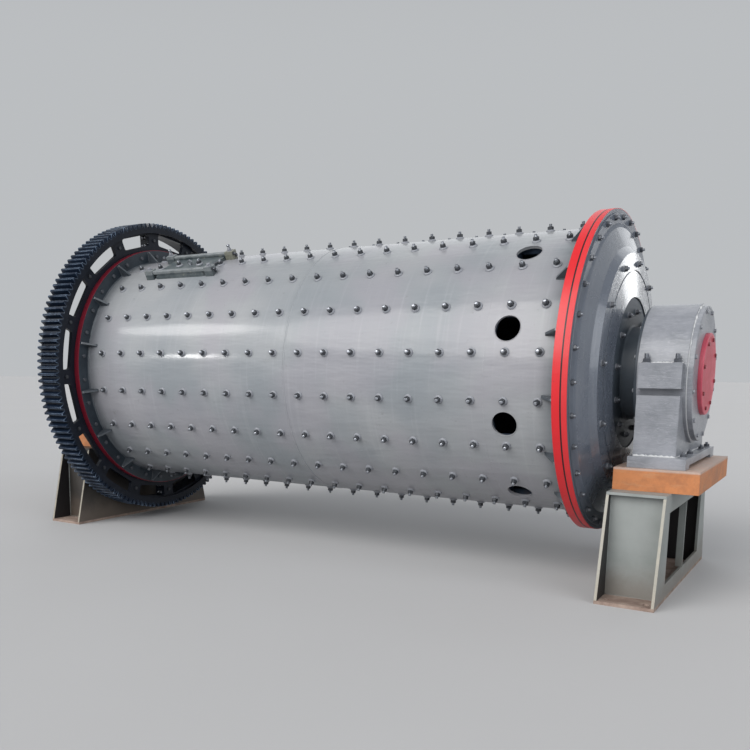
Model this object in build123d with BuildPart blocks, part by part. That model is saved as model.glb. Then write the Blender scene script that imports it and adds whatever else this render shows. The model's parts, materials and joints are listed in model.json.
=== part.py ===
"""Batch ball mill: a bolted drum with end trunnions, a girth gear and two bearing pedestals."""
from build123d import *
import math
import os

os.makedirs("parts", exist_ok=True)

# Millimetres. X runs along the mill axis towards the discharge end, -Y faces the viewer, Z is up.
# The origin lies on the floor, midway between the two bearings.

# Overall arrangement
axis_height = 1595.0

# Drum shell, rolled in two courses
shell_length = 4700.0
shell_radius = 1100.0
shell_wall = 22.0
shell_flange_thickness = 60.0
shell_flange_width = 128.0

# Lining: rings of wave-shaped plates, each as wide as the pitch of the liner bolt rows
liner_count = 20
liner_start_angle = 7.5
liner_thickness = 50.0
liner_wave_height = 34.0
liner_wave_width = 104.0
liner_length = 600.0
liner_gap = 8.0
lining_end_gap = 12.0

# Discharge ports, on the joints between lining plates, each in a rolled plate of its own
port_count = 10
port_diameter = 187.0
port_inset = 445.0
port_plate_reach = 155.0

# Flange gussets
gusset_count = 16
gusset_length = 108.0
gusset_height = 112.0
gusset_thickness = 18.0
gusset_nose = 12.0
feed_gusset_phase = 11.5
discharge_gusset_phase = -8.5

# Heads
head_flange_thickness = 44.0
head_rim_inset = 32.0
head_rim_step = 10.0
head_rim_width = 76.0
head_slope = 0.33
head_step_inset = 170.0
head_step_width = 50.0
head_step_height = 45.0
head_pad_slope = 0.077
head_groove_inset = 130.0
head_groove_width = 14.0
head_groove_depth = 8.0
head_wall = 48.0
head_hub_wall = 60.0
head_spigot_depth = 30.0
head_spigot_lip = 40.0
head_spigot_wall = 70.0
head_spigot_clearance = 1.0
head_bore_clearance = 30.0

# Trunnions
trunnion_flange_radius = 567.0
trunnion_flange_thickness = 44.0
trunnion_seat_clearance = 8.0
trunnion_seat_depth = 52.0
neck_radius = 352.0
neck_fillet = 18.0
journal_radius = 300.0
journal_run_out = 8.0
journal_end_gap = 20.0
trunnion_bore_radius = 210.0
journal_clearance = 0.4

# Girth gear, in two halves bolted together
gear_module = 20.0
gear_pressure_angle = 20.0
gear_addendum = 1.0
gear_dedendum = 1.25
gear_reach = 252.0
gear_face_width = 250.0
gear_web_thickness = 40.0
gear_web_offset = 45.0
gear_web_overlap = 5.0
gear_rim_depth = 53.0
gear_bore_clearance = 12.0
window_count = 16
window_margin = 42.0
window_rim_lip = 20.0
window_spoke_width = 140.0
window_corner = 24.0
gear_split_angle = 86.5
joint_lug_thickness = 34.0
joint_lug_depth = 120.0
joint_lug_margin = 22.0

# Manhole, which takes the place of one lining plate
manhole_row = 3
manhole_inset = 895.0
manhole_length = 540.0
manhole_width = 320.0
manhole_corner = 40.0
manhole_frame_border = 45.0
manhole_frame_height = 8.0
manhole_cover_thickness = 14.0
manhole_cover_overlap = 38.0
clamp_bar_width = 46.0
clamp_bar_height = 32.0
clamp_bar_overhang = 5.0
clamp_bar_edge = 4.0
clamp_bar_spread = 400.0
clamp_block_length = 90.0
clamp_block_width = 70.0
clamp_block_rise = 12.0
clamp_block_clearance = 1.0

# Bearing housings, with heights measured from the mill axis
housing_radius = 510.0
housing_width = 330.0
column_width = 290.0
column_half_depth = 566.0
split_height = -101.0
lug_top = 77.0
lug_gap = 50.0
base_top = -581.0
base_thickness = 79.0
base_ledge = 68.0
base_width = 390.0
base_offset = 30.0
base_relief = 26.0
base_foot = 150.0
cover_radius = 494.0
cover_thickness = 24.0
outer_cover_thickness = 40.0
cover_edge = 3.0
cover_bore_clearance = 6.0
end_cap_radius = 300.0
end_cap_height = 32.0
end_cap_chamfer = 6.0
end_cap_overlap = 60.0

# Bedplates between the bearings and the stands
bedplate_width = 574.0
bedplate_height = 160.0
bedplate_margin = 46.0
bedplate_wall = 30.0

# Stands
stand_width = 400.0
stand_clearance = 36.0
bearing_inset = 244.0
stand_half_depth_top = 838.0
stand_half_depth_bottom = 1010.0
stand_plate = 20.0
stand_base_plate = 24.0
stand_end_recess = 58.0
stand_post_width = 158.0
stand_bottom_rail = 101.0
stand_top_rail = 135.0
stand_rib_depth = 50.0
anchor_diameter = 40.0
anchor_spacing_x = 260.0
anchor_inset = 85.0

# How far a cutting tool runs past the material
cut_margin = 40.0

# Positions that follow from the sizes above
half_shell = shell_length / 2
shell_bore = shell_radius - shell_wall
flange_radius = shell_radius + shell_flange_width
lining_bore = shell_bore - liner_thickness
liner_crest_radius = lining_bore - liner_wave_height
liner_step = 360 / liner_count
lining_end = half_shell - head_spigot_depth - lining_end_gap
port_start_angle = liner_start_angle + liner_step / 2
port_x = half_shell - port_inset
port_plate_start = port_x - port_plate_reach
tube_end = half_shell - shell_flange_thickness
manhole_angle = liner_start_angle + manhole_row * liner_step
manhole_x = -half_shell + manhole_inset
manhole_frame_top = shell_radius + manhole_frame_height
manhole_frame_length = manhole_length + 2 * manhole_frame_border
manhole_frame_width = manhole_width + 2 * manhole_frame_border
clamp_bar_seat = manhole_frame_top + manhole_cover_thickness
clamp_bar_length = manhole_frame_length + 2 * clamp_bar_overhang
clamp_block_top = clamp_bar_seat + clamp_bar_height + clamp_block_rise
head_rim_radius = flange_radius - head_rim_inset
head_cone_radius = head_rim_radius - head_rim_width
head_step_radius = head_cone_radius - head_step_inset
head_pad_radius = head_step_radius - head_step_width
trunnion_seat_radius = trunnion_flange_radius + trunnion_seat_clearance
gear_back = -half_shell - gear_web_thickness
gear_half_teeth = round((flange_radius + gear_reach) / gear_module)
gear_pitch_radius = gear_module * gear_half_teeth
gear_tip_radius = gear_pitch_radius + gear_addendum * gear_module
gear_root_radius = gear_pitch_radius - gear_dedendum * gear_module
gear_rim_radius = gear_root_radius - gear_rim_depth
gear_bore_radius = shell_radius + gear_bore_clearance
bearing_bore_radius = journal_radius + journal_clearance
base_half_depth = column_half_depth + base_ledge
bedplate_half_depth = base_half_depth + bedplate_margin
bedplate_top = axis_height + base_top - base_thickness
bedplate_bottom = bedplate_top - bedplate_height
stand_height = bedplate_bottom
window_half_depth = stand_half_depth_top - stand_post_width
window_bottom = stand_base_plate + stand_bottom_rail
window_top = stand_height - stand_top_rail
anchor_half_spacing_y = stand_half_depth_bottom - anchor_inset
head_face = head_flange_thickness + head_rim_step + head_step_height
pad_reach = (head_pad_radius + base_top - base_thickness) * head_pad_slope
head_reach = head_face + head_step_inset * head_slope + pad_reach
stand_inner_edge = half_shell + gear_web_thickness + head_reach + stand_clearance
bearing_half_span = stand_inner_edge + bearing_inset

mill_axis = Axis((0, 0, axis_height), (1, 0, 0))


def mill_section():
    """Plane through the mill axis: local x along the mill, local y up from the axis."""
    return Plane(origin=(0, 0, axis_height), x_dir=(1, 0, 0), z_dir=(0, -1, 0))


def cross_section(x):
    """Plane across the mill at x: polar angles count up from the viewer's side."""
    return Plane(origin=(x, 0, axis_height), x_dir=(0, -1, 0), z_dir=(-1, 0, 0))


def polar(radius, angle):
    """Local point of a cross section at a polar angle in degrees."""
    a = math.radians(angle)
    return (radius * math.cos(a), radius * math.sin(a))


def tangent_plane(x, angle, radius):
    """Plane tangent to the drum: local x along the mill, normal pointing outwards."""
    towards_viewer, up = polar(1, angle)
    outward = (0, -towards_viewer, up)
    origin = (x, radius * outward[1], axis_height + radius * outward[2])
    return Plane(origin=origin, x_dir=(1, 0, 0), z_dir=outward)


def save(part, name):
    part.label = name
    export_step(part, f"parts/{name}.step")


def shell_course(x0, x1):
    """One rolled course of the shell: a plain tube."""
    with BuildPart() as course:
        with BuildSketch(cross_section(x0)):
            Circle(shell_radius)
            Circle(shell_bore, mode=Mode.SUBTRACT)
        extrude(amount=x0 - x1)
    return course


def feed_course():
    """The feed course, with the manhole cut through it."""
    course, cutter = shell_course(-tube_end, 0), manhole_cutter()
    with BuildPart() as cut:
        add(course.part)
        add(cutter, mode=Mode.SUBTRACT)
    return cut


def port_angles():
    return [port_start_angle + 360 / port_count * k for k in range(port_count)]


def port_cutters():
    """Round cutters for the ring of discharge ports."""
    with BuildPart() as cutters:
        for angle in port_angles():
            with BuildSketch(tangent_plane(port_x, angle, shell_bore - cut_margin)):
                Circle(port_diameter / 2)
            extrude(amount=shell_wall + 2 * cut_margin)
    return cutters.part


def port_plates(angles):
    """Rolled plates with one discharge port each, which close the shell up to its flange."""
    half_angle = 180 / port_count
    cutters = port_cutters()
    with BuildPart() as plates:
        with BuildSketch(cross_section(port_plate_start)):
            with BuildLine():
                ThreePointArc(polar(shell_radius, -half_angle), polar(shell_radius, 0),
                              polar(shell_radius, half_angle))
                Line(polar(shell_radius, half_angle), polar(shell_bore, half_angle))
                ThreePointArc(polar(shell_bore, half_angle), polar(shell_bore, 0),
                              polar(shell_bore, -half_angle))
                Line(polar(shell_bore, -half_angle), polar(shell_radius, -half_angle))
            make_face()
        plate = extrude(amount=port_plate_start - tube_end, mode=Mode.PRIVATE)
        add([plate.rotate(mill_axis, -angle) for angle in angles])
        add(cutters, mode=Mode.SUBTRACT)
    return plates


def manhole_cutter():
    """Rectangular cutter for the manhole through the shell."""
    with BuildPart() as cutter:
        with BuildSketch(tangent_plane(manhole_x, manhole_angle, shell_bore - cut_margin)):
            RectangleRounded(manhole_length, manhole_width, manhole_corner)
        extrude(amount=shell_wall + 2 * cut_margin)
    return cutter.part


def lining_plates(x0, x1, angles, half_angle):
    """A ring of wave-shaped lining plates centred on the given angles, with a gap all round each."""
    spread = half_angle - math.degrees(liner_gap / 2 / shell_bore)
    crest = liner_wave_width / 2
    with BuildPart() as ring:
        with BuildSketch(cross_section(x0 + liner_gap / 2)):
            with BuildLine():
                ThreePointArc(polar(shell_bore, -spread), polar(shell_bore, 0),
                              polar(shell_bore, spread))
                Polyline(polar(shell_bore, spread), polar(lining_bore, spread),
                         (liner_crest_radius, crest), (liner_crest_radius, -crest),
                         polar(lining_bore, -spread), polar(shell_bore, -spread))
            make_face()
        plate = extrude(amount=x0 - x1 + liner_gap, mode=Mode.PRIVATE)
        add([plate.rotate(mill_axis, -angle) for angle in angles])
    return ring.part


def row_angles(left_out=None):
    """Angles of the plates' middles, on the liner bolt rows."""
    return [liner_start_angle + liner_step * k for k in range(liner_count) if k != left_out]


def full_rings(start, end):
    """Rings of plates that fill the space between two places, each about one plate length long."""
    count = max(1, round((end - start) / liner_length))
    step = (end - start) / count
    starts = [start + k * step for k in range(count)]
    return [lining_plates(x0, x0 + step, row_angles(), liner_step / 2) for x0 in starts]


def feed_lining_plates():
    """Lining of the feed course; the ring at the manhole leaves one plate out."""
    door_start = manhole_x - (manhole_length + liner_gap) / 2
    door_end = manhole_x + (manhole_length + liner_gap) / 2
    door_ring = lining_plates(door_start, door_end, row_angles(manhole_row), liner_step / 2)
    rings = [*full_rings(-lining_end, door_start), door_ring, *full_rings(door_end, 0)]
    with BuildPart() as lining:
        add(rings)
    return lining


def discharge_lining_plates():
    """Lining of the discharge course, with narrow plates between the ports."""
    band_half = port_diameter / 2 + liner_gap
    port_half_angle = math.degrees(math.asin(band_half / lining_bore))
    plate_half_angle = (180 / port_count - port_half_angle) / 2
    plate_offset = port_half_angle + plate_half_angle
    angles = [port + side * plate_offset for port in port_angles() for side in (-1, 1)]
    band_start, band_end = port_x - band_half, port_x + band_half
    port_ring = lining_plates(band_start, band_end, angles, plate_half_angle)
    rings = [*full_rings(0, band_start), port_ring, *full_rings(band_end, lining_end)]
    with BuildPart() as lining:
        add(rings)
    return lining


def shell_flange(side):
    """Ring flange at one end of the shell; side is -1 for the feed end, 1 for the discharge end."""
    with BuildPart() as flange:
        with BuildSketch(cross_section(side * half_shell)):
            Circle(flange_radius)
            Circle(shell_bore, mode=Mode.SUBTRACT)
        extrude(amount=side * shell_flange_thickness)
    return flange


def flange_gussets(side, phase):
    """Triangular plates that brace the shell flange against the shell."""
    face = side * (half_shell - shell_flange_thickness)
    with BuildPart() as gussets:
        with BuildSketch(mill_section()):
            with BuildLine():
                Polyline(
                    (face, shell_radius),
                    (face, shell_radius + gusset_height),
                    (face - side * gusset_nose, shell_radius + gusset_height),
                    (face - side * gusset_length, shell_radius + gusset_nose),
                    (face - side * gusset_length, shell_radius),
                    close=True,
                )
            make_face()
        plate = extrude(amount=gusset_thickness / 2, both=True, mode=Mode.PRIVATE)
        for k in range(gusset_count):
            add(plate.rotate(mill_axis, 90 - phase - 360 / gusset_count * k))
    return gussets


def head(side, joint_x):
    """Conical end casting with a raised, grooved pad; joint_x is where it meets its neighbour."""
    face = joint_x + head_flange_thickness
    rim_face = face + head_rim_step
    step_x = rim_face + head_step_inset * head_slope
    pad_x = step_x + head_step_height
    seat_x = pad_x + (head_pad_radius - trunnion_seat_radius) * head_pad_slope
    groove_x = pad_x + head_groove_inset * head_pad_slope
    groove_outer = head_pad_radius - head_groove_inset + head_groove_width / 2
    groove_inner = head_pad_radius - head_groove_inset - head_groove_width / 2
    hub_face = seat_x - trunnion_seat_depth
    bore = trunnion_bore_radius + head_bore_clearance
    spigot = shell_bore - head_spigot_clearance
    spigot_end = joint_x - head_spigot_depth
    with BuildPart() as casting:
        with BuildSketch(mill_section()):
            with BuildLine():
                Polyline(
                    (side * joint_x, flange_radius),
                    (side * face, flange_radius),
                    (side * face, head_rim_radius),
                    (side * rim_face, head_rim_radius),
                    (side * rim_face, head_cone_radius),
                    (side * step_x, head_step_radius),
                    (side * pad_x, head_pad_radius),
                    (side * groove_x, groove_outer),
                    (side * (groove_x - head_groove_depth), groove_outer),
                    (side * (groove_x - head_groove_depth), groove_inner),
                    (side * groove_x, groove_inner),
                    (side * seat_x, trunnion_seat_radius),
                    (side * hub_face, trunnion_seat_radius),
                    (side * hub_face, bore),
                    (side * (hub_face - head_wall), bore),
                    (side * (hub_face - head_wall), trunnion_seat_radius - head_hub_wall),
                    (side * (spigot_end + head_spigot_lip), spigot - head_spigot_wall),
                    (side * spigot_end, spigot - head_spigot_wall),
                    (side * spigot_end, spigot),
                    (side * joint_x, spigot),
                    close=True,
                )
            make_face()
        revolve(axis=mill_axis)
    return casting, hub_face


def trunnion(side, hub_face):
    """Hollow trunnion: bolting flange in the head's recess, neck, then the journal."""
    flange_face = hub_face + trunnion_flange_thickness
    bearing_face = bearing_half_span - housing_width / 2
    journal_start = bearing_face - cover_thickness - journal_run_out
    journal_end = bearing_half_span + housing_width / 2 - journal_end_gap
    with BuildPart() as body:
        with BuildSketch(mill_section()):
            with BuildLine():
                Polyline(
                    (side * hub_face, trunnion_bore_radius),
                    (side * hub_face, trunnion_flange_radius),
                    (side * flange_face, trunnion_flange_radius),
                    (side * flange_face, neck_radius),
                    (side * journal_start, neck_radius),
                    (side * journal_start, journal_radius),
                    (side * journal_end, journal_radius),
                    (side * journal_end, trunnion_bore_radius),
                    close=True,
                )
            make_face()
        revolve(axis=mill_axis)
        neck_root = body.faces().filter_by(GeomType.CYLINDER).sort_by(SortBy.AREA)
        neck = [f for f in neck_root if abs(f.radius - neck_radius) < journal_clearance][0]
        fillet(neck.edges().sort_by(Axis.X)[0 if side > 0 else -1], neck_fillet)
    return body


def gear_teeth_outline(start_angle):
    """Points of straight-flanked teeth round half the gear, counted up from the start angle."""
    tangent = math.tan(math.radians(gear_pressure_angle))
    pitch_half = math.pi * gear_module / 4
    tip_half = pitch_half - gear_addendum * gear_module * tangent
    root_half = pitch_half + gear_dedendum * gear_module * tangent
    points = []
    for k in range(gear_half_teeth):
        middle = start_angle + (k + 0.5) * 180 / gear_half_teeth
        for half, radius in ((-root_half, gear_root_radius), (-tip_half, gear_tip_radius),
                             (tip_half, gear_tip_radius), (root_half, gear_root_radius)):
            points.append(polar(radius, middle + math.degrees(half / radius)))
    return points


def gear_half(start_angle):
    """Half of the girth gear: toothed rim, windowed web and the bolted joint lugs."""
    end_angle, middle = start_angle + 180, start_angle + 90
    web_face = gear_back + gear_web_thickness
    web_radius = gear_rim_radius + gear_web_overlap
    window_pitch = 360 / window_count
    windows = [gear_window(start_angle + window_pitch * (k + 0.5)) for k in range(window_count // 2)]
    lugs = [joint_lug(start_angle, 1), joint_lug(end_angle, -1)]
    with BuildPart() as half:
        with BuildSketch(cross_section(web_face + gear_web_offset)):
            with BuildLine():
                Polyline(polar(gear_rim_radius, start_angle), polar(gear_root_radius, start_angle),
                         *gear_teeth_outline(start_angle),
                         polar(gear_root_radius, end_angle), polar(gear_rim_radius, end_angle))
                ThreePointArc(polar(gear_rim_radius, end_angle), polar(gear_rim_radius, middle),
                              polar(gear_rim_radius, start_angle))
            make_face()
        extrude(amount=gear_face_width)
        with BuildSketch(cross_section(web_face)):
            with BuildLine():
                Line(polar(gear_bore_radius, start_angle), polar(web_radius, start_angle))
                ThreePointArc(polar(web_radius, start_angle), polar(web_radius, middle),
                              polar(web_radius, end_angle))
                Line(polar(web_radius, end_angle), polar(gear_bore_radius, end_angle))
                ThreePointArc(polar(gear_bore_radius, end_angle), polar(gear_bore_radius, middle),
                              polar(gear_bore_radius, start_angle))
            make_face()
            add(windows, mode=Mode.SUBTRACT)
        extrude(amount=gear_web_thickness)
        with BuildSketch(cross_section(gear_back)):
            add(lugs)
        extrude(amount=joint_lug_depth)
    return half


def joint_lug(angle, inward):
    """Section of the plate that bolts this half to the other, on one side of the joint."""
    inner = flange_radius + joint_lug_margin
    length = gear_rim_radius + gear_web_overlap - inner
    with BuildSketch(mode=Mode.PRIVATE) as lug:
        with Locations((inner + length / 2, inward * joint_lug_thickness / 2)):
            Rectangle(length, joint_lug_thickness)
    return lug.sketch.rotate(Axis.Z, angle)


def gear_window(angle):
    """One web window between two parallel-sided spokes, with straight edges and rounded corners."""
    inner = flange_radius + window_margin
    outer = gear_rim_radius - window_rim_lip
    half_pitch = math.pi / window_count
    half_spoke = window_spoke_width / 2 / math.cos(half_pitch)
    half_in = inner * math.tan(half_pitch) - half_spoke
    half_out = outer * math.tan(half_pitch) - half_spoke
    with BuildSketch(mode=Mode.PRIVATE) as window:
        with BuildLine():
            Polyline((inner, -half_in), (outer, -half_out), (outer, half_out), (inner, half_in),
                     close=True)
        make_face()
        fillet(window.vertices(), window_corner)
    return window.sketch.rotate(Axis.Z, angle)


def round_cutter(centre, half_length, radius):
    """Plain cylinder about the mill axis, for cutting a bore or a curved seat."""
    with BuildPart() as cutter:
        with BuildSketch(cross_section(centre - half_length)):
            Circle(radius)
        extrude(amount=-2 * half_length)
    return cutter.part


def manhole_frame():
    """Raised frame round the manhole, seated on the curved shell."""
    shell = round_cutter(manhole_x, manhole_frame_length, shell_radius)
    with BuildPart() as frame:
        with BuildSketch(tangent_plane(manhole_x, manhole_angle, shell_bore - shell_wall)):
            RectangleRounded(manhole_frame_length, manhole_frame_width, manhole_corner)
            RectangleRounded(manhole_length, manhole_width, manhole_corner, mode=Mode.SUBTRACT)
        extrude(amount=manhole_frame_top - shell_bore + shell_wall)
        add(shell, mode=Mode.SUBTRACT)
    return frame


def manhole_cover():
    with BuildPart() as cover:
        with BuildSketch(tangent_plane(manhole_x, manhole_angle, manhole_frame_top)):
            RectangleRounded(manhole_length + 2 * manhole_cover_overlap,
                             manhole_width + 2 * manhole_cover_overlap, manhole_corner)
        extrude(amount=manhole_cover_thickness)
    return cover


def clamp_bars():
    """Two bars along the cover's long edges, which press it down."""
    with BuildPart() as bars:
        with BuildSketch(tangent_plane(manhole_x, manhole_angle, clamp_bar_seat)):
            with GridLocations(0, clamp_bar_spread - clamp_bar_width, 1, 2):
                Rectangle(clamp_bar_length, clamp_bar_width)
        extrude(amount=clamp_bar_height)
        fillet(bars.edges().filter_by(Axis.X), clamp_bar_edge)
    return bars


def clamp_blocks():
    """A block on the shell beyond each end of the two bars."""
    reach = clamp_bar_length + 2 * clamp_block_clearance + clamp_block_length
    shell = round_cutter(manhole_x, reach, shell_radius)
    with BuildPart() as blocks:
        with BuildSketch(tangent_plane(manhole_x, manhole_angle, shell_bore)):
            with GridLocations(reach, clamp_bar_spread - clamp_bar_width, 2, 2):
                Rectangle(clamp_block_length, clamp_block_width)
        extrude(amount=clamp_block_top - shell_bore)
        add(shell, mode=Mode.SUBTRACT)
    return blocks


def bearing_housing(side):
    """Lower bearing casting: half barrel, column and base, bored for the journal."""
    centre = side * bearing_half_span
    base_centre = centre + side * base_offset
    bore = round_cutter(centre, housing_width, bearing_bore_radius)
    with BuildPart() as housing:
        with BuildSketch(cross_section(centre + housing_width / 2)):
            Circle(housing_radius)
            with Locations((0, split_height + housing_radius)):
                Rectangle(4 * housing_radius, 2 * housing_radius, mode=Mode.SUBTRACT)
        extrude(amount=housing_width)
        with BuildSketch(cross_section(centre + column_width / 2)):
            with Locations((0, (base_top + split_height - lug_gap) / 2)):
                Rectangle(2 * column_half_depth, split_height - lug_gap - base_top)
        extrude(amount=column_width)
        with BuildSketch(cross_section(base_centre + base_width / 2)):
            with Locations((0, base_top - base_thickness / 2)):
                Rectangle(2 * base_half_depth, base_thickness)
            with Locations((0, base_top - base_thickness + base_relief / 2)):
                Rectangle(2 * (base_half_depth - base_foot), base_relief, mode=Mode.SUBTRACT)
        extrude(amount=base_width)
        add(bore, mode=Mode.SUBTRACT)
    return housing


def bearing_cap(side):
    """Upper bearing casting: half barrel with a bolting lug front and rear."""
    centre = side * bearing_half_span
    bore = round_cutter(centre, housing_width, bearing_bore_radius)
    with BuildPart() as cap:
        with BuildSketch(cross_section(centre + housing_width / 2)):
            Circle(housing_radius)
            with Locations((0, split_height - housing_radius)):
                Rectangle(4 * housing_radius, 2 * housing_radius, mode=Mode.SUBTRACT)
        extrude(amount=housing_width)
        with BuildSketch(cross_section(centre + column_width / 2)):
            with Locations((0, (lug_top + split_height) / 2)):
                Rectangle(2 * column_half_depth, lug_top - split_height)
        extrude(amount=column_width)
        add(bore, mode=Mode.SUBTRACT)
    return cap


def bearing_cover(x0, bore, thickness):
    """Round cover bolted to one face of a bearing housing."""
    with BuildPart() as cover:
        with BuildSketch(cross_section(x0)):
            Circle(cover_radius)
            Circle(bore, mode=Mode.SUBTRACT)
        extrude(amount=thickness)
        chamfer(cover.edges().filter_by(GeomType.CIRCLE).sort_by(SortBy.RADIUS)[-2:], cover_edge)
    return cover


def end_cap(side):
    """Closed round cap over the trunnion's end."""
    start = side * (bearing_half_span + housing_width / 2 + outer_cover_thickness)
    with BuildPart() as cap:
        with BuildSketch(cross_section(start)):
            Circle(end_cap_radius)
        extrude(amount=-side * end_cap_height)
        outer = cap.faces().sort_by(Axis.X)[-1 if side > 0 else 0]
        chamfer(outer.edges(), end_cap_chamfer)
    return cap


def bedplate(side):
    """Box bedplate, open underneath, flush with the stand's inner edge."""
    centre = side * (stand_inner_edge + bedplate_width / 2)
    with BuildPart() as plate:
        with BuildSketch(Plane.XY.offset(bedplate_bottom)):
            with Locations((centre, 0)):
                Rectangle(bedplate_width, 2 * bedplate_half_depth)
        extrude(amount=bedplate_height)
        with BuildSketch(Plane.XY.offset(bedplate_bottom)):
            with Locations((centre, 0)):
                Rectangle(bedplate_width - 2 * bedplate_wall,
                          2 * (bedplate_half_depth - bedplate_wall))
        extrude(amount=bedplate_height - bedplate_wall, mode=Mode.SUBTRACT)
    return plate


def stand_plate_pair(side):
    """Base and top plates of one stand, the base drilled for its anchors."""
    centre = side * (stand_inner_edge + stand_width / 2)
    with BuildPart() as base:
        with BuildSketch(Plane.XY):
            with Locations((centre, 0)):
                Rectangle(stand_width, 2 * stand_half_depth_bottom)
                with GridLocations(anchor_spacing_x, 2 * anchor_half_spacing_y, 2, 2):
                    Circle(anchor_diameter / 2, mode=Mode.SUBTRACT)
        extrude(amount=stand_base_plate)
    with BuildPart() as top:
        with BuildSketch(Plane.XY.offset(stand_height - stand_plate)):
            with Locations((centre, 0)):
                Rectangle(stand_width, 2 * stand_half_depth_top)
        extrude(amount=stand_plate)
    return base, top


def stand_side(x0, direction, open_frame):
    """One trapezoid side plate; the outer one is an open frame with a middle rib."""
    low, high = stand_base_plate, stand_height - stand_plate
    lean = (stand_half_depth_bottom - stand_half_depth_top) / (stand_height - stand_base_plate)
    half_low = stand_half_depth_bottom
    half_high = half_low - lean * (high - low)
    window_middle = (window_bottom + window_top) / 2
    plane = Plane(origin=(x0, 0, 0), x_dir=(0, 1, 0), z_dir=(1, 0, 0))
    with BuildPart() as plate:
        with BuildSketch(plane):
            with BuildLine():
                Polyline((-half_low, low), (half_low, low), (half_high, high), (-half_high, high),
                         close=True)
            make_face()
            if open_frame:
                with Locations((0, window_middle)):
                    Rectangle(2 * window_half_depth, window_top - window_bottom,
                              mode=Mode.SUBTRACT)
        extrude(amount=direction * stand_plate)
        if open_frame:
            with BuildSketch(plane):
                with Locations((0, window_middle)):
                    Rectangle(stand_plate, window_top - window_bottom)
            extrude(amount=direction * stand_rib_depth)
    return plate


def stand_ends(side):
    """The two upright end plates, set back between the side plates."""
    low, high = stand_base_plate, stand_height - stand_plate
    centre = side * (stand_inner_edge + stand_width / 2)
    reach = 2 * (stand_half_depth_top - stand_end_recess) - stand_plate
    with BuildPart() as ends:
        with BuildSketch(Plane.XY.offset(low)):
            with Locations((centre, 0)):
                with GridLocations(0, reach, 1, 2):
                    Rectangle(stand_width - 2 * stand_plate, stand_plate)
        extrude(amount=high - low)
    return ends


def build_support(side, end):
    base, top = stand_plate_pair(side)
    save(base.part, f"{end}_stand_base")
    save(top.part, f"{end}_stand_top")
    outer_edge = stand_inner_edge + stand_width
    inner_side = stand_side(side * stand_inner_edge, side, False)
    outer_side = stand_side(side * outer_edge, -side, True)
    save(inner_side.part, f"{end}_stand_inner_side")
    save(outer_side.part, f"{end}_stand_outer_side")
    save(stand_ends(side).part, f"{end}_stand_ends")
    save(bedplate(side).part, f"{end}_bedplate")
    save(bearing_housing(side).part, f"{end}_bearing_housing")
    save(bearing_cap(side).part, f"{end}_bearing_cap")
    face = side * (bearing_half_span + housing_width / 2)
    inner_face = side * (bearing_half_span - housing_width / 2)
    outer_x = face + outer_cover_thickness if side > 0 else face
    inner_x = inner_face if side > 0 else inner_face + cover_thickness
    outer_bore = end_cap_radius - end_cap_overlap
    outer_cover = bearing_cover(outer_x, outer_bore, outer_cover_thickness)
    inner_cover = bearing_cover(inner_x, journal_radius + cover_bore_clearance, cover_thickness)
    save(outer_cover.part, f"{end}_outer_cover")
    save(inner_cover.part, f"{end}_inner_cover")
    save(end_cap(side).part, f"{end}_end_cap")


def build_drum():
    save(feed_course().part, "feed_shell_course")
    save(shell_course(0, port_plate_start).part, "discharge_shell_course")
    save(port_plates(port_angles()[0::2]).part, "odd_port_plates")
    save(port_plates(port_angles()[1::2]).part, "even_port_plates")
    save(feed_lining_plates().part, "feed_lining")
    save(discharge_lining_plates().part, "discharge_lining")
    save(shell_flange(-1).part, "feed_shell_flange")
    save(shell_flange(1).part, "discharge_shell_flange")
    save(flange_gussets(-1, feed_gusset_phase).part, "feed_flange_gussets")
    save(flange_gussets(1, discharge_gusset_phase).part, "discharge_flange_gussets")
    for side, end, joint in ((-1, "feed", half_shell + gear_web_thickness),
                             (1, "discharge", half_shell)):
        casting, hub_face = head(side, joint)
        save(casting.part, f"{end}_head")
        save(trunnion(side, hub_face).part, f"{end}_trunnion")
    save(gear_half(gear_split_angle - 180).part, "girth_gear_front")
    save(gear_half(gear_split_angle).part, "girth_gear_rear")
    save(manhole_frame().part, "manhole_frame")
    save(manhole_cover().part, "manhole_cover")
    save(clamp_bars().part, "manhole_clamp_bars")
    save(clamp_blocks().part, "manhole_clamp_blocks")


build_drum()
build_support(-1, "feed")
build_support(1, "discharge")
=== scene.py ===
"""Looks of the ball mill: paints and wear, with bolts, welds and sealant on the solids."""
import json
import math
import random
from itertools import product
from typing import NamedTuple

import bmesh
import bpy
from mathutils import Matrix, Vector


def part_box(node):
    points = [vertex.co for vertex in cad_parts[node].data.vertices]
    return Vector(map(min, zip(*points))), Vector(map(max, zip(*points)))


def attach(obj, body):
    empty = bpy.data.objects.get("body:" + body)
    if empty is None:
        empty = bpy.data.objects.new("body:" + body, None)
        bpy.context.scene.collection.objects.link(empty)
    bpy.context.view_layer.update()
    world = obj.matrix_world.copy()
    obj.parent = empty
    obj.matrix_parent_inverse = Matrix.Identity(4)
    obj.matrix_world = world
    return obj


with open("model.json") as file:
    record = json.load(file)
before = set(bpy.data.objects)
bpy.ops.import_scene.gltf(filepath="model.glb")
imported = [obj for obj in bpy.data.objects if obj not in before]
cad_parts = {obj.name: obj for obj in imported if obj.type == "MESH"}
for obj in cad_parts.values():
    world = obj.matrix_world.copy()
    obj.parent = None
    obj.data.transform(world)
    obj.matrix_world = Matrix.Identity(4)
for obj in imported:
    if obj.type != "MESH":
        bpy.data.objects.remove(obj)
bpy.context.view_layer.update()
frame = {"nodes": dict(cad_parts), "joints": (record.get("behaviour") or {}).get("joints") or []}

# Metres. X runs along the mill axis towards the discharge end, -Y faces the viewer, Z is up.
# Angles round the drum are in degrees and count up from the viewer's side.
AXIS_Z = frame["joints"][0]["pos_m"][2]
AXIS_X = Vector((1, 0, 0))
UP = Vector((0, 0, 1))


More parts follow.
